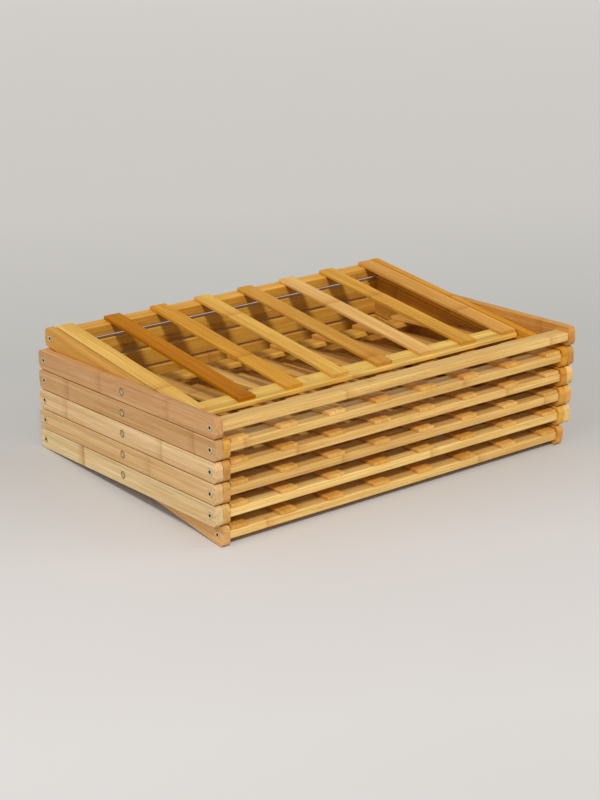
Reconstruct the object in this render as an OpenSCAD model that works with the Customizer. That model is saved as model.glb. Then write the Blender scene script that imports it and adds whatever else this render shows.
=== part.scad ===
// Folding slatted rack with six tiers, shown folded flat.
// Two lazy-tong sides, each of five crossed pairs of bars, carry a slatted shelf at every tier.
// X runs along the shelves, -Y is the front, +Z is up. The origin is on the ground, at the middle.
// Tiers count from 1 at the bottom. Pair k of bars joins tier k to tier k + 1.

/* [Frame] */
// Width over the two sides
frame_w = 525; // [380:5:800]
// Distance between the two end pins of a bar
pin_span = 342; // [280:2:420]
// Height from one tier to the next when folded
fold_rise = 25; // [24:0.5:32]
// Angle of the bars to the ground when the rack stands open
open_angle = 32.9; // [28:0.1:38]
// Number of crossed pairs on each side
pairs = 5; // [3:1:5]

/* [Bars] */
// Thickness of a bar
bar_t = 9.3; // [7:0.1:14]
// Gap between the edges of neighbouring bars when folded
bar_gap = 0.9; // [0.6:0.1:2]
// Length of a bar past its end pins
bar_end = 11; // [9:0.5:16]
// Radius of the corners of a bar
corner_r = 7; // [3:0.5:9]
// Rounding of the long edges of a bar
bar_ease = 1.2; // [0.4:0.1:2]
// Gap between pieces that lie side by side
side_gap = 0.4; // [0.3:0.05:0.8]

/* [Rails] */
// Thickness of a rail
rail_t = 10; // [8:0.5:12]
// Width of the front rail of a lower shelf
shelf_rail_w = 30; // [20:0.5:34]
// Width of the front rail between the uppermost bars
tie_rail_w = 20; // [16:0.5:24]
// Distance from a front rail's pins to its front face
rail_nose = 9; // [8:0.5:10]
// Gap between the upright rear rails when folded
rear_gap = 2.6; // [2:0.1:5]
// Height of the middle of a rear rail above its pins
rear_lift = 1; // [0:0.1:1.2]
// Distance from a rear rail's front face to its pins
rear_nose = 4; // [3.8:0.1:6]
// Width of the rail that carries the top shelf
top_rail_w = 17; // [12:0.5:20]
// Height of the rail that carries the top shelf
top_rail_h = 14.4; // [12:0.2:16]
// Rounding of the long edges of a rail
rail_ease = 1.8; // [0.5:0.1:3]

/* [Shelves] */
// Number of slats in a shelf
slat_count = 8; // [4:1:12]
// Width of a slat
slat_w = 22.5; // [15:0.5:30]
// Thickness of a slat
slat_t = 4.5; // [3:0.25:6]
// Rounding of the edges of a slat
slat_ease = 1; // [0.3:0.1:1.4]
// Gap from the outermost slats to the bars
slat_margin = 2.5; // [2:0.5:6]
// Width of the strip that joins the free ends of the slats
strip_w = 27; // [20:0.5:35]
// Thickness of that strip
strip_t = 6.5; // [4:0.25:8]
// Distance that the top strip and the top rail stand out past their slats
strip_lip = 3; // [0:0.5:6]
// Distance that the top slats run past the pins of the top rail
slat_tail = 5; // [3:0.5:8]
// Room left between a strip and the opposite pins when the rack stands open
seat_room = 11.2; // [10:0.1:16]
// Extra slope of each shelf over the one below it when folded, in degrees
drop_step = 0.4; // [0:0.05:0.5]
// Gap from the lowest strip to the ground when folded
ground_gap = 0.6; // [0.4:0.1:2]

/* [Fasteners] */
// Diameter of a screw's shank
screw_d = 5; // [4:0.5:6]
// Diameter of a screw's head
head_d = 7.8; // [7:0.1:9]
// Height of a screw's head
head_h = 3; // [2:0.25:4]
// Height of a head above the face of the bar
head_proud = 0.3; // [0:0.1:0.6]
// Width over the corners of the hexagon socket
socket_d = 4; // [3:0.25:4.5]
// Depth of the hexagon socket
socket_depth = 1.8; // [1:0.1:2]
// Length of a screw that runs on inside the rail
screw_bite = 26; // [18:1:40]
// Diameter of a rivet's shank
rivet_d = 5; // [4:0.5:6]
// Diameter of a rivet's flange
flange_d = 8.4; // [7.5:0.1:10]
// Thickness of a rivet's flange
flange_h = 1.4; // [1:0.1:2]
// Diameter of the dimple in a rivet's flange
dimple_d = 3.6; // [2:0.1:4]

/* [Fits] */
// Radial clearance of a turning shank in its hole
turn_fit = 0.08; // [0.04:0.01:0.1]
// Radial clearance in the front holes of the inner bars
loose_fit = 0.45; // [0.3:0.05:0.8]
// Radial clearance of a head in its counterbore
head_fit = 0.35; // [0.3:0.05:0.6]
// Clearance of a screw in the end of a rail
bite_fit = 0.02; // [0.01:0.01:0.05]

/* [Hidden] */
$fn = 48;
eps = 0.01;
tiers = pairs + 1;
fold_angle = asin(fold_rise / pin_span);
half_depth = pin_span * cos(fold_angle) / 2;
bar_w = fold_rise * cos(fold_angle) - bar_gap;
outer_x = frame_w / 2 - bar_t;
inner_x = outer_x - side_gap - bar_t;
// Height of the lowest pins, with the rounded bar ends on the ground
foot_z = (bar_end - corner_r) * sin(fold_angle) + (bar_w / 2 - corner_r) * cos(fold_angle) + corner_r;
// Distance from a shelf's pins to the edge of its strip
reach = pin_span * cos(open_angle) - seat_room;
rear_rail_h = fold_rise - rear_gap;
slat_bed = rail_t / 2;
top_bed = bar_w / 2 - slat_t;
first_drop = asin((foot_z + slat_bed - strip_t - ground_gap) / reach);
slat_field = 2 * (inner_x - slat_margin);
slat_pitch = (slat_field - slat_w) / (slat_count - 1);
head_sink = head_h - head_proud;
screw_len = 2 * bar_t + side_gap - head_sink + screw_bite;
tip_h = 4;
tip_r = 0.6;

sides = ["left", "right"];

function tier_z(j) = foot_z + (j - 1) * fold_rise;
function shelf_drop(j) = j == 1 ? first_drop : fold_angle + (j - 1) * drop_step;
function shade(j, pale, dark) = pale + (dark - pale) * ((j * 7) % 5) / 4;

// ---- placing ----

// Puts its children on the left or the right side
module on_side(side) {
  mirror([side == "left" ? 1 : 0, 0, 0]) children();
}

module on_both_sides() {
  for (s = sides) on_side(s) children();
}

// Local frame of an inner bar: origin at its lower, front pin, +Y up along the bar
module along_inner(k) {
  translate([0, -half_depth, tier_z(k)]) rotate([fold_angle, 0, 0]) children();
}

// Local frame of an outer bar: origin at its lower, rear pin, +Y up along the bar
module along_outer(k) {
  mirror([0, 1, 0]) along_inner(k) children();
}

module at_front_pin(j) {
  translate([0, -half_depth, tier_z(j)]) children();
}

module at_rear_pin(j) {
  translate([0, half_depth, tier_z(j)]) children();
}

// A lower shelf turns on the front pins, with its free edge down at the rear
module on_shelf(j) {
  at_front_pin(j) rotate([-shelf_drop(j), 0, 0]) children();
}

// The top shelf turns on the rear pins and lies along the inner bars
module on_top_shelf() {
  at_rear_pin(tiers) rotate([fold_angle, 0, 0]) children();
}

// ---- shared shapes ----

// Rectangle from p to p + size with round corners, built only from true arcs
module round_rect(p, size, r) {
  translate([p[0] + r, p[1]]) square([size[0] - 2 * r, size[1]]);
  translate([p[0], p[1] + r]) square([size[0], size[1] - 2 * r]);
  for (x = [r, size[0] - r]) for (y = [r, size[1] - r]) translate([p[0] + x, p[1] + y]) circle(r);
}

// Extrudes an outline drawn in Y and Z along X, from x0 to x1
module along_x(x0, x1) {
  translate([x0, 0, 0]) rotate([90, 0, 90]) linear_extrude(x1 - x0) children();
}

// Extrudes an outline drawn in X and Z along Y, from y0 to y1
module along_y(y0, y1) {
  translate([0, y1, 0]) rotate([90, 0, 0]) linear_extrude(y1 - y0) children();
}

// Cylinder on the X axis from x0 to x1
module x_rod(x0, x1, r) {
  translate([x0, 0, 0]) rotate([0, 90, 0]) cylinder(h = x1 - x0, r = r);
}

// Batten on the X axis between -half and half, with the rectangle y, z given by p and size
module batten(half, p, size, r) {
  along_x(-half, half) round_rect(p, size, r);
}

// ---- bars ----

module bar_blank(x0) {
  intersection() {
    along_x(x0, x0 + bar_t)
      round_rect([-bar_end, -bar_w / 2], [pin_span + 2 * bar_end, bar_w], corner_r);
    along_y(-bar_end - 1, pin_span + bar_end + 1)
      round_rect([x0, -bar_w / 2], [bar_t, bar_w], bar_ease);
  }
}

module head_pocket(x0) {
  x_rod(x0 + bar_t - head_sink, x0 + bar_t + 1, head_d / 2 + head_fit);
}

module screw_hole(x0, fit) {
  x_rod(x0 - 1, x0 + bar_t + 1, screw_d / 2 + fit);
}

module rivet_hole(x0) {
  x_rod(x0 - 1, x0 + bar_t + 1, rivet_d / 2 + turn_fit);
}

module outer_bar(k, side) {
  tone = shade(k, 0.86, 0.76);
  color([tone, tone * 0.83, tone * 0.62]) on_side(side) along_outer(k) difference() {
    bar_blank(outer_x);
    for (y = [0, pin_span]) translate([0, y, 0]) {
      screw_hole(outer_x, turn_fit);
      head_pocket(outer_x);
    }
    translate([0, pin_span / 2, 0]) {
      rivet_hole(outer_x);
      x_rod(outer_x + bar_t - flange_h, outer_x + bar_t + 1, flange_d / 2 + head_fit);
    }
  }
}

module inner_bar(k, side) {
  tone = shade(k + 2, 0.85, 0.74);
  color([tone, tone * 0.8, tone * 0.58]) on_side(side) along_inner(k) difference() {
    bar_blank(inner_x);
    screw_hole(inner_x, k == 1 ? turn_fit : loose_fit);
    translate([0, pin_span, 0]) screw_hole(inner_x, turn_fit);
    if (k == 1) head_pocket(inner_x);
    if (k == pairs) translate([0, pin_span, 0]) head_pocket(inner_x);
    translate([0, pin_span / 2, 0]) {
      rivet_hole(inner_x);
      x_rod(inner_x - 1, inner_x + flange_h, flange_d / 2 + head_fit);
    }
  }
}

// ---- fasteners ----

// Screw with its head in the bar that starts at x0, pointing inwards
module screw(x0) {
  seat = x0 + bar_t - head_sink;
  difference() {
    x_rod(seat, seat + head_h, head_d / 2);
    translate([seat + head_h - socket_depth, 0, 0])
      rotate([0, 90, 0]) cylinder(h = socket_depth + 1, r = socket_d / 2, $fn = 6);
  }
  x_rod(seat - screw_len, seat + eps, screw_d / 2);
  translate([seat - screw_len - tip_h, 0, 0])
    rotate([0, 90, 0]) cylinder(h = tip_h + eps, r1 = tip_r, r2 = screw_d / 2);
}

// Room that a screw takes in the end of a rail
module screw_bore(x0) {
  seat = x0 + bar_t - head_sink;
  x_rod(seat - screw_len - tip_h - 1, seat, screw_d / 2 + bite_fit);
}

module front_screws(j) {
  color("silver") on_both_sides() at_front_pin(j) screw(j == 1 ? inner_x : outer_x);
}

module rear_screws(j) {
  color("silver") on_both_sides() at_rear_pin(j) screw(j == tiers ? inner_x : outer_x);
}

// The four screws of the uppermost outer bars, which hold their rails fast
module end_frame_screws() {
  rear_screws(pairs);
  front_screws(tiers);
}

module pivot_rivet() {
  flange = flange_h - side_gap / 2;
  difference() {
    union() {
      x_rod(inner_x + side_gap / 2, outer_x + bar_t, rivet_d / 2);
      x_rod(outer_x + bar_t - flange, outer_x + bar_t, flange_d / 2);
      x_rod(inner_x, inner_x + flange, flange_d / 2);
    }
    x_rod(outer_x + bar_t - flange / 2, outer_x + bar_t + 1, dimple_d / 2);
  }
}

module pivot_rivets(k) {
  color("gainsboro") on_both_sides()
    translate([0, 0, tier_z(k) + fold_rise / 2]) pivot_rivet();
}

// ---- rails ----

// Bored ends of a rail whose screws start in the bar at x0
module bored(x0) {
  difference() {
    children();
    on_both_sides() screw_bore(x0);
  }
}

module front_rail(j) {
  color([0.88, 0.73, 0.48]) {
    if (j == tiers) at_front_pin(j) bored(outer_x) front_batten(outer_x - side_gap, tie_rail_w);
    else on_shelf(j) bored(j == 1 ? inner_x : outer_x) front_batten(inner_x - side_gap, shelf_rail_w);
  }
}

module front_batten(half, width) {
  batten(half, [-rail_nose, -rail_t / 2], [width, rail_t], rail_ease);
}

module rear_rail(j) {
  color([0.8, 0.62, 0.36]) {
    if (j == tiers) on_top_shelf() bored(inner_x) top_batten();
    else at_rear_pin(j) bored(outer_x) rear_batten(j == 1 ? outer_x - side_gap : inner_x - side_gap);
  }
}

module rear_batten(half) {
  batten(half, [-rear_nose, rear_lift - rear_rail_h / 2], [rail_t, rear_rail_h], rail_ease);
}

// The top rail carries its slats level with the upper edges of the bars
module top_batten() {
  batten(inner_x - side_gap, [slat_tail + strip_lip - top_rail_w, top_bed - top_rail_h],
    [top_rail_w, top_rail_h], rail_ease);
}

// ---- shelves ----

module slats(y0, y1, bed) {
  for (i = [0:slat_count - 1])
    translate([-slat_field / 2 + i * slat_pitch, 0, 0])
      along_y(y0, y1) round_rect([0, bed], [slat_w, slat_t], slat_ease);
}

module shelf_slats(j) {
  color([0.84, 0.64, 0.33]) {
    if (j == tiers) on_top_shelf() slats(strip_lip - reach, slat_tail, top_bed);
    else on_shelf(j) slats(-rail_nose, reach, slat_bed);
  }
}

module shelf_strip(j) {
  color([0.87, 0.71, 0.42]) {
    if (j == tiers) on_top_shelf()
      batten(slat_field / 2, [-reach, top_bed - strip_t], [strip_w, strip_t], rail_ease);
    else on_shelf(j)
      batten(slat_field / 2, [reach - strip_w, slat_bed - strip_t], [strip_w, strip_t], rail_ease);
  }
}

for (k = [1:pairs]) for (s = sides) {
  outer_bar(k, s);
  inner_bar(k, s);
}
for (k = [1:pairs]) {
  pivot_rivets(k);
  front_screws(k);
}
for (j = [1:pairs - 1]) {
  rear_screws(j);
}
for (j = [1:tiers]) {
  front_rail(j);
  rear_rail(j);
  shelf_slats(j);
  shelf_strip(j);
}
end_frame_screws();
rear_screws(tiers);  // top_shelf_screws
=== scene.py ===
import math
import random

import bpy
from mathutils import Matrix, Vector

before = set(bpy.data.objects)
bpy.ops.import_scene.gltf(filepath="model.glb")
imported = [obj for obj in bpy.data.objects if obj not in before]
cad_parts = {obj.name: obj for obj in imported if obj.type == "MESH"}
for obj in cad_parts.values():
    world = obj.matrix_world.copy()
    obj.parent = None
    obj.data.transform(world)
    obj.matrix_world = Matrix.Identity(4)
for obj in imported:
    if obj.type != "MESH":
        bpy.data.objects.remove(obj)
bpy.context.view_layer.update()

# ---- sizes of the rack, in metres, at rest ----
FOLD = math.radians(4.192027)       # slope of every bar
HALF_DEPTH = 0.1705425              # from the middle to a front or rear pin
FOOT = 0.0122955                    # height of the lowest pins
RISE = 0.025                        # from tier to tier
SLAT_FIELD = 0.482                  # outer edge of the first slat to that of the last
SLAT_WIDTH = 0.0225
SLAT_PITCH = (SLAT_FIELD - SLAT_WIDTH) / 7
DROPS = [math.radians(a) for a in (2.1174, 4.5920, 4.9920, 5.3920, 5.7920)]    # slope of shelves 1 to 5


def tier(j):
    """Height of the pins of a tier, counted from 1 at the bottom."""
    return FOOT + (j - 1) * RISE


def linear(rgb, gain=1.0):
    """An sRGB colour of 0 to 255 as linear RGBA."""
    out = []
    for c in rgb:
        c = min(c * gain, 255.0) / 255.0
        out.append(c / 12.92 if c <= 0.04045 else ((c + 0.055) / 1.055) ** 2.4)
    return (*out, 1.0)


WHITE = linear((255, 255, 255))


# ---- a small helper for node trees ----
class Tree:
    def __init__(self, name):
        self.mat = bpy.data.materials.new(name)
        self.mat.use_nodes = True
        self.nodes = self.mat.node_tree.nodes
        self.links = self.mat.node_tree.links
        self.nodes.clear()
        self.out = self.nodes.new("ShaderNodeOutputMaterial")
        self.bsdf = self.nodes.new("ShaderNodeBsdfPrincipled")
        self.links.new(self.bsdf.outputs[0], self.out.inputs[0])

    def put(self, socket, value):
        if hasattr(value, "is_linked"):
            self.links.new(value, socket)
        else:
            socket.default_value = value

    def plain(self, **values):
        """Uniform values, set on the shader's own sockets."""
        for name, value in values.items():
            self.bsdf.inputs[name.replace("_", " ")].default_value = value

    def math(self, op, a, b=0.0):
        n = self.nodes.new("ShaderNodeMath")
        n.operation = op
        self.put(n.inputs[0], a)
        self.put(n.inputs[1], b)
        return n.outputs[0]

    def add(self, a, b):
        return self.math("ADD", a, b)

    def less(self, a, b):
        return self.math("SUBTRACT", a, b)

    def times(self, a, b):
        return self.math("MULTIPLY", a, b)

    def size(self, a):
        return self.math("ABSOLUTE", a)

    def stretch(self, v, scale):
        n = self.nodes.new("ShaderNodeVectorMath")
        n.operation = "MULTIPLY"
        self.put(n.inputs[0], v)
        self.put(n.inputs[1], scale)
        return n.outputs[0]

    def combine(self, x, y, z):
        n = self.nodes.new("ShaderNodeCombineXYZ")
        for socket, value in zip(n.inputs, (x, y, z)):
            self.put(socket, value)
        return n.outputs[0]

    def split(self, v):
        n = self.nodes.new("ShaderNodeSeparateXYZ")
        self.put(n.inputs[0], v)
        return n.outputs[0], n.outputs[1], n.outputs[2]

    def noise(self, v, detail=2.0, rough=0.5):
        n = self.nodes.new("ShaderNodeTexNoise")
        self.put(n.inputs["Vector"], v)
        n.inputs["Scale"].default_value = 1.0
        n.inputs["Detail"].default_value = detail
        n.inputs["Roughness"].default_value = rough
        return n.outputs[0]

    def white(self, value):
        n = self.nodes.new("ShaderNodeTexWhiteNoise")
        n.noise_dimensions = "1D"
        self.put(n.inputs["W"], value)
        return n.outputs[0]

    def remap(self, value, a, b, c, d, smooth=False):
        n = self.nodes.new("ShaderNodeMapRange")
        n.interpolation_type = "SMOOTHSTEP" if smooth else "LINEAR"
        n.clamp = True
        self.put(n.inputs[0], value)
        for socket, x in zip(n.inputs[1:5], (a, b, c, d)):
            self.put(socket, x)
        return n.outputs[0]

    def mix(self, factor, a, b, blend="MIX"):
        n = self.nodes.new("ShaderNodeMix")
        n.data_type = "RGBA"
        n.blend_type = blend
        self.put(n.inputs[0], factor)
        self.put(n.inputs[6], a)
        self.put(n.inputs[7], b)
        return n.outputs[2]

    def dye(self, colour, by):
        """The colour multiplied by another one."""
        return self.mix(1.0, colour, by, "MULTIPLY")

    def stain(self, factor, colour, rgb):
        """The colour multiplied by an sRGB tone where the factor says so."""
        return self.mix(factor, colour, self.dye(colour, linear(rgb)))

    def ramp(self, value, stops, constant=False):
        n = self.nodes.new("ShaderNodeValToRGB")
        n.color_ramp.interpolation = "CONSTANT" if constant else "LINEAR"
        self.put(n.inputs[0], value)
        e = n.color_ramp.elements
        e[0].position, e[0].color = stops[0]
        e[1].position, e[1].color = stops[-1]
        for position, color in stops[1:-1]:
            e.new(position).color = color
        return n.outputs[0]

    def bump(self, height, strength, distance):
        n = self.nodes.new("ShaderNodeBump")
        n.inputs["Strength"].default_value = strength
        n.inputs["Distance"].default_value = distance
        self.put(n.inputs["Height"], height)
        self.links.new(n.outputs[0], self.bsdf.inputs["Normal"])


def object_place(t, tilt=0.0, pin=(0.0, 0.0, 0.0)):
    """Rest coordinates of the node, turned level about one of its pins."""
    p = t.nodes.new("ShaderNodeTexCoord").outputs["Object"]
    if tilt:
        r = t.nodes.new("ShaderNodeVectorRotate")
        r.rotation_type = "X_AXIS"
        r.inputs["Center"].default_value = pin
        r.inputs["Angle"].default_value = -tilt
        t.put(r.inputs["Vector"], p)
        p = r.outputs[0]
    return p


def nearer(t, a, b):
    """Whichever of two signed distances is nearer to nought."""
    pick = t.math("LESS_THAN", t.size(b), t.size(a))
    return t.add(t.times(a, t.less(1.0, pick)), t.times(b, pick))


# ---- bamboo ----
# how many noise cells a metre holds: along the fibres, then twice across them
BROAD, STREAK, FIBRE = (2.6, 34, 34), (7.0, 330, 330), (26, 1500, 1500)
PORES, CLOUD = (75, 1250, 1250), (9.0, 26, 26)
KNOT_BAND, KNOT_RIM, KNOT_RIM_AT = 0.0040, 0.0110, 0.0042     # half widths, and how far the rim lies to one side
KNOT_WAVE, KNOT_WAVES = 0.0045, 90
GLOSS = 0.40                                                  # middle roughness


def bamboo(name, along, tones, seed, tilt, pin, period=0.27, spread=0.0, strip=None, knots=(), bold=1.0):
    """Lacquered bamboo: fibres, glued strips, growth knots and fine dark pores.

    along: axis of the fibres. tones: sRGB colours, one, or one for each slat if strip is None.
    strip: (axis across the glued strips, width of a strip). spread: change of tone between them.
    knots: places of knots along the piece; without any they repeat at the period. bold: their strength."""
    t = Tree(name)
    x, y, z = t.split(object_place(t, tilt, pin))
    u, v, w = (x, y, z) if along == "x" else (y, x, z)
    start = seed * 1.37 + 0.21

    # which slat or glued strip a point belongs to
    if strip is None:
        cell = t.math("FLOOR", t.math("DIVIDE", t.add(x, SLAT_FIELD / 2 + SLAT_PITCH / 2 - SLAT_WIDTH / 2), SLAT_PITCH))
        tone = t.ramp(t.math("DIVIDE", t.add(cell, 0.5), len(tones)),
                      [(i / len(tones), linear(c)) for i, c in enumerate(tones)], constant=True)
    else:
        axis, width = strip
        cell = t.math("FLOOR", t.math("DIVIDE", {"v": v, "w": w}[axis], width))
        tone = linear(tones[0])
    chance = t.white(t.add(cell, start))

    # long streaks, fine fibres, pores and paler clouds
    base = t.combine(t.add(u, t.add(t.times(chance, 7.0), start)), v, w)
    broad = t.noise(t.stretch(base, BROAD), 2.0, 0.55)
    streak = t.noise(t.stretch(base, STREAK), 3.0, 0.62)
    fibre = t.noise(t.stretch(base, FIBRE), 2.0, 0.6)
    pores = t.noise(t.stretch(base, PORES), 1.0, 0.5)
    cloud = t.noise(t.stretch(base, CLOUD), 2.0, 0.5)

    c = t.mix(t.remap(broad, 0.32, 0.68, 0.0, 1.0), linear((234, 226, 212)), WHITE)
    c = t.dye(tone, c)
    c = t.dye(c, t.mix(t.remap(streak, 0.34, 0.66, 0.0, 1.0), linear((234, 220, 198)), linear((255, 255, 252))))
    c = t.dye(c, t.mix(t.remap(fibre, 0.36, 0.64, 0.0, 1.0), linear((241, 232, 216)), WHITE))
    c = t.stain(t.remap(cloud, 0.52, 0.80, 0.0, 0.30, True), c, (255, 232, 190))
    c = t.stain(t.remap(pores, 0.66, 0.78, 0.0, 0.42, True), c, (166, 122, 74))
    if spread:
        other = t.white(t.add(t.times(cell, 1.7), start + 9.3))
        darkest = linear((255 - 150 * spread, 255 - 190 * spread, 255 - 240 * spread))
        c = t.dye(c, t.mix(other, WHITE, darkest))

    # growth knots: a soft dark band across the fibres, slightly wavy, with a fainter rim on one side
    ripple = t.noise(t.combine(start, t.times(v, KNOT_WAVES), t.times(w, KNOT_WAVES)))
    place = t.add(u, t.times(t.less(ripple, 0.5), KNOT_WAVE))
    if knots:
        d = t.less(place, knots[0])
        for k in knots[1:]:
            d = nearer(t, d, t.less(place, k))
    else:
        q = t.math("FRACT", t.add(t.math("DIVIDE", place, period), t.times(chance, 5.3)))
        d = t.times(t.less(q, 0.5), period)
    band = t.remap(t.size(d), 0.0, KNOT_BAND, 1.0, 0.0, True)
    rim = t.remap(t.size(t.less(d, KNOT_RIM_AT)), 0.0, KNOT_RIM, 1.0, 0.0, True)
    c = t.stain(t.times(rim, 0.20 * bold), c, (206, 158, 104))
    c = t.stain(t.times(band, 0.24 * bold), c, (176, 118, 62))
    t.put(t.bsdf.inputs["Base Color"], c)

    sheen = t.remap(streak, 0.3, 0.7, GLOSS + 0.10, GLOSS - 0.04)
    t.put(t.bsdf.inputs["Roughness"], t.add(sheen, t.times(pores, 0.10)))
    slats = strip is None
    t.plain(Coat_Weight=0.02 if slats else 0.05, Coat_Roughness=0.28, Specular_IOR_Level=0.08 if slats else 0.20)
    height = t.add(t.times(streak, 0.7), t.times(fibre, 0.45))
    height = t.add(height, t.times(band, 0.55))
    height = t.less(height, t.times(t.remap(pores, 0.66, 0.78, 0.0, 1.0), 0.5))
    t.bump(height, 0.35, 0.0004)
    return t.mat


# ---- steel ----
def steel(name, axes, middle, tone, centre_tone_and_shade, rough, rim_shade=None):
    """Turned steel, with fine rings round each axis (y, z) and another tone, deep, inside the radius middle: painted
    shade in the socket recess of a screw, and a rivet head's own paler centre.

    rim_shade: the tone that the edge of the head fades to, painted shade at the rim."""
    t = Tree(name)
    p = object_place(t)
    x, y, z = t.split(p)
    r = None
    for ay, az in axes:
        dy, dz = t.less(y, ay), t.less(z, az)
        d = t.math("SQRT", t.add(t.times(dy, dy), t.times(dz, dz)))
        r = d if r is None else t.math("MINIMUM", r, d)
    turned = t.noise(t.combine(t.times(r, 3400), t.times(x, 160), 0.0))
    grime = t.noise(t.stretch(p, (900, 900, 900)), 3.0, 0.6)
    c = t.mix(t.remap(turned, 0.35, 0.65, 0.0, 1.0), linear(tone, 0.88), linear(tone, 1.08))
    c = t.mix(t.remap(grime, 0.5, 0.8, 0.0, 0.5, True), c, linear((120, 104, 84)))
    # painted shade: the edge of a rivet's head fades to a darker tone
    if rim_shade:
        c = t.mix(t.remap(r, middle + 0.0004, middle + 0.0014, 0.0, 1.0, True), c, linear(rim_shade))
    # inside the radius middle: for screws, painted shade in the socket recess; for rivets, the head's own paler centre
    c = t.mix(t.remap(r, middle, middle + 0.0003, 1.0, 0.0), c, linear(centre_tone_and_shade))
    t.put(t.bsdf.inputs["Base Color"], c)
    t.plain(Metallic=0.6)
    t.put(t.bsdf.inputs["Roughness"], t.remap(grime, 0.3, 0.8, rough - 0.06, rough + 0.18))
    t.bump(t.add(turned, t.times(grime, 0.5)), 0.25, 0.0002)
    return t.mat


def dress(node, material):
    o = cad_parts[node]
    o.data.materials.clear()
    o.data.materials.append(material)


# ---- bars: colours and knots of each pair, counted from the bottom ----
OUTER = {5: (221, 179, 134), 4: (219, 181, 134), 3: (241, 214, 173), 2: (233, 202, 155), 1: (244, 227, 188)}
INNER = {5: (229, 180, 92), 4: (219, 168, 100), 3: (228, 185, 118), 2: (236, 200, 130), 1: (230, 187, 126)}
RIGHT_LIFT = (6, -4, -34)           # what the colours of the right side add
OUTER_KNOTS = {5: (0.125, 0.262), 4: (0.055, 0.312), 3: (0.050, 0.250), 2: (0.225,), 1: (0.085,)}
INNER_KNOTS = {5: (0.150,), 4: (0.070, 0.255), 3: (0.205,), 2: (0.120, 0.300), 1: (0.165, 0.330)}
RIGHT_KNOTS = 0.043                 # how far the knots of the right side are moved
OUTER_BOLD = {5: 0.6, 4: 0.9, 3: 0.9, 2: 0.6, 1: 1.9}
BAR = dict(spread=0.11, strip=("w", 0.0082))

for k in range(1, 6):
    for side, lift, far, more in (("left", (0, 0, 0), 0.0, 0), ("right", RIGHT_LIFT, RIGHT_KNOTS, 11)):
        # the outer bars run from the lower rear pin up to the front, the inner ones from the lower front pin
        tone = tuple(a + b for a, b in zip(OUTER[k], lift))
        knots = tuple(HALF_DEPTH - a - far for a in OUTER_KNOTS[k])
        dress(f"outer_bar_{k}_{side}",
              bamboo(f"bamboo_outer_{k}_{side}", "y", [tone], 10 * k + more, -FOLD, (0, HALF_DEPTH, tier(k)),
                     knots=knots, bold=OUTER_BOLD[k], **BAR))
        tone = tuple(a + b for a, b in zip(INNER[k], lift))
        knots = tuple(a - HALF_DEPTH + far for a in INNER_KNOTS[k])
        dress(f"inner_bar_{k}_{side}",
              bamboo(f"bamboo_inner_{k}_{side}", "y", [tone], 10 * k + more + 5, FOLD, (0, -HALF_DEPTH, tier(k)),
                     knots=knots, **BAR))

# ---- rails, slats and strips, shelf by shelf ----
TOP_SLATS = [(241, 203, 116), (192, 126, 4), (225, 170, 64), (240, 198, 104), (215, 163, 74), (239, 198, 128),
             (226, 176, 76), (230, 178, 96)]
TOP_STRIP, LOW_STRIP = (254, 223, 128), (236, 190, 92)

random.seed(7)
for j in range(1, 7):
    top = j == 6
    front, back = (0, -HALF_DEPTH, tier(j)), (0, HALF_DEPTH, tier(j))
    drop = 0.0 if top else -DROPS[j - 1]
    warm = random.uniform(-6, 6)
    dress(f"front_rail_{j}",
          bamboo(f"bamboo_front_rail_{j}", "x", [(248 + warm * 0.5, 217 + warm, 147 + warm)], 60 + j, drop, front,
                 period=0.31, spread=0.12, strip=("v", 0.0115)))
    dress(f"rear_rail_{j}",
          bamboo(f"bamboo_rear_rail_{j}", "x", [(235, 187 + warm, 88 + warm)], 70 + j, FOLD if top else 0.0, back,
                 period=0.34, spread=0.16, strip=("w", 0.0125)))
    if top:
        tones, angle, centre = TOP_SLATS, FOLD, back
    else:
        tones, angle, centre = [], drop, front
        for i in range(8):
            a = random.uniform(-1, 1)
            b = random.uniform(-1, 1)
            tones.append((237 + 9 * a, 191 + 14 * a + 5 * b, 112 + 18 * a + 9 * b))
    dress(f"shelf_slats_{j}", bamboo(f"bamboo_slats_{j}", "y", tones, 80 + j, angle, centre, period=0.33))
    dress(f"shelf_strip_{j}",
          bamboo(f"bamboo_strip_{j}", "x", [TOP_STRIP if top else LOW_STRIP], 90 + j, angle, centre,
                 period=0.29, spread=0.22, strip=("v", 0.0095)))

# ---- screws and rivets ----
# the screws' inner tone is painted shade in the socket recess
SCREW = dict(middle=0.0018, tone=(222, 204, 164), centre_tone_and_shade=(52, 44, 36), rough=0.30)
# the rivets' inner tone is their own paler centre, and their ring tone is painted shade at the edge of the head
RIVET = dict(middle=0.0022, tone=(196, 176, 134), centre_tone_and_shade=(198, 182, 142), rough=0.42, rim_shade=(134, 108, 74))

for j in range(1, 6):
    dress(f"front_screws_{j}", steel(f"steel_front_{j}", [(-HALF_DEPTH, tier(j))], **SCREW))
for j in range(1, 5):
    dress(f"rear_screws_{j}", steel(f"steel_rear_{j}", [(HALF_DEPTH, tier(j))], **SCREW))
dress("end_frame_screws", steel("steel_end_frame", [(HALF_DEPTH, tier(5)), (-HALF_DEPTH, tier(6))], **SCREW))
dress("top_shelf_screws", steel("steel_top_shelf", [(HALF_DEPTH, tier(6))], **SCREW))
for k in range(1, 6):
    dress(f"pivot_rivets_{k}", steel(f"steel_rivets_{k}", [(0.0, tier(k) + RISE / 2)], **RIVET))

# ---- floor ----
FLOOR_HALF, FLOOR_DROP = 20, 0.0003
FLOOR_SPAN = (-1.0, 4.0)            # metres away from the camera, between which the tones below run
# painted shade: the darker band from 0.20 to 0.27 is a painted soft shadow of the rack on the floor around it
FLOOR_TONES_AND_SHADOW = [(0.0, (209, 208, 207)), (0.07, (216, 214, 213)), (0.14, (212, 209, 208)), (0.20, (190, 189, 187)),
               (0.27, (187, 187, 185)), (0.42, (205, 204, 202)), (1.0, (220, 219, 217))]


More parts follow.
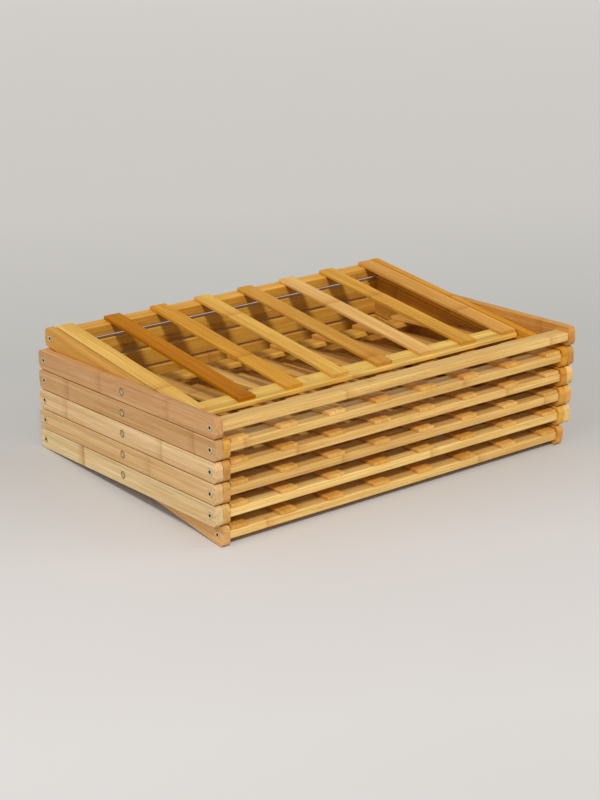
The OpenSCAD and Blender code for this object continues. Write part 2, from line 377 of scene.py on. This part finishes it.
def floor_material():
    t = Tree("stage_floor")
    p = object_place(t)
    x, y, _ = t.split(p)
    grain = t.noise(t.stretch(p, (7, 7, 7)), 3.0, 0.6)
    depth = t.add(t.times(x, 0.45), t.times(y, 0.9))
    # the ramp paints the rack's soft shadow as a darker band on the floor around it
    c = t.ramp(t.remap(depth, *FLOOR_SPAN, 0.0, 1.0), [(at, linear(rgb)) for at, rgb in FLOOR_TONES_AND_SHADOW])
    c = t.mix(t.remap(grain, 0.3, 0.7, 0.0, 0.06), c, linear((200, 196, 192)))
    t.put(t.bsdf.inputs["Base Color"], c)
    t.plain(Roughness=0.7, Specular_IOR_Level=0.2)
    return t.mat


mesh = bpy.data.meshes.new("floor")
corners = [(sx * FLOOR_HALF, sy * FLOOR_HALF, 0) for sx, sy in ((-1, -1), (1, -1), (1, 1), (-1, 1))]
mesh.from_pydata(corners, [], [(0, 1, 2, 3)])
floor = bpy.data.objects.new("floor", mesh)
bpy.context.scene.collection.objects.link(floor)
floor.location = (0, 0, -FLOOR_DROP)
floor.data.materials.append(floor_material())


# ---- light ----
def lamp(name, kind, energy, colour, direction):
    """A lamp that shines along a direction."""
    o = bpy.data.objects.new(name, bpy.data.lights.new(name, kind))
    bpy.context.scene.collection.objects.link(o)
    o.data.energy = energy
    o.data.color = colour
    o.rotation_euler = direction.to_track_quat("-Z", "Y").to_euler()
    return o


def area(name, place, target, size, power, colour):
    """A square soft light that shines from a place at a target."""
    o = lamp(name, "AREA", power, colour, Vector(target) - Vector(place))
    o.data.shape = "SQUARE"
    o.data.size = size
    o.location = place


key = lamp("key", "SUN", 2.2, (1.0, 0.975, 0.93), Vector((0.52, 0.85, -1.0)))
key.data.angle = math.radians(8)
area("fill", (1.9, -1.9, 1.7), (0, 0, 0.1), 2.2, 9, (1.0, 0.98, 0.96))
area("side", (-2.3, -0.5, 1.1), (0, 0, 0.08), 1.6, 13, (1.0, 0.98, 1.0))

# the world lights softly, and the camera sees it as a pale backdrop
SOFT, SOFT_STRENGTH = (1.0, 0.985, 0.975, 1), 0.44
BACKDROP = (203, 202, 198)

world = bpy.data.worlds.new("world")
bpy.context.scene.world = world
world.use_nodes = True
wn, wl = world.node_tree.nodes, world.node_tree.links
wn.clear()
out = wn.new("ShaderNodeOutputWorld")
soft = wn.new("ShaderNodeBackground")
soft.inputs[0].default_value = SOFT
soft.inputs[1].default_value = SOFT_STRENGTH
pale = wn.new("ShaderNodeBackground")
pale.inputs[0].default_value = linear(BACKDROP)
pale.inputs[1].default_value = 1.0
path = wn.new("ShaderNodeLightPath")
mix = wn.new("ShaderNodeMixShader")
wl.new(path.outputs["Is Camera Ray"], mix.inputs[0])
wl.new(soft.outputs[0], mix.inputs[1])
wl.new(pale.outputs[0], mix.inputs[2])
wl.new(mix.outputs[0], out.inputs[0])

# ---- camera, for an image of 600 by 800 ----
AZ, EL, ROLL = (math.radians(a) for a in (37.91, 20.84, 0.894))
EYE = Vector((-1.29575, -1.64925, 0.85555))
SENSOR, IMAGE_HEIGHT, FOCAL = 24, 800, 1867.5       # mm, pixels, pixels

ahead = Vector((math.sin(AZ) * math.cos(EL), math.cos(AZ) * math.cos(EL), -math.sin(EL)))
right = Vector((math.cos(AZ), -math.sin(AZ), 0))
up = right.cross(ahead)
right, up = (math.cos(ROLL) * right + math.sin(ROLL) * up, -math.sin(ROLL) * right + math.cos(ROLL) * up)
cam = bpy.data.objects.new("camera", bpy.data.cameras.new("camera"))
bpy.context.scene.collection.objects.link(cam)
stand = Matrix((right, up, -ahead)).transposed().to_4x4()
stand.translation = EYE
cam.matrix_world = stand
cam.data.sensor_fit = "VERTICAL"
cam.data.sensor_height = SENSOR
cam.data.lens = SENSOR * FOCAL / IMAGE_HEIGHT
cam.data.clip_end = 50
bpy.context.scene.camera = cam
bpy.context.scene.view_settings.view_transform = "Standard"
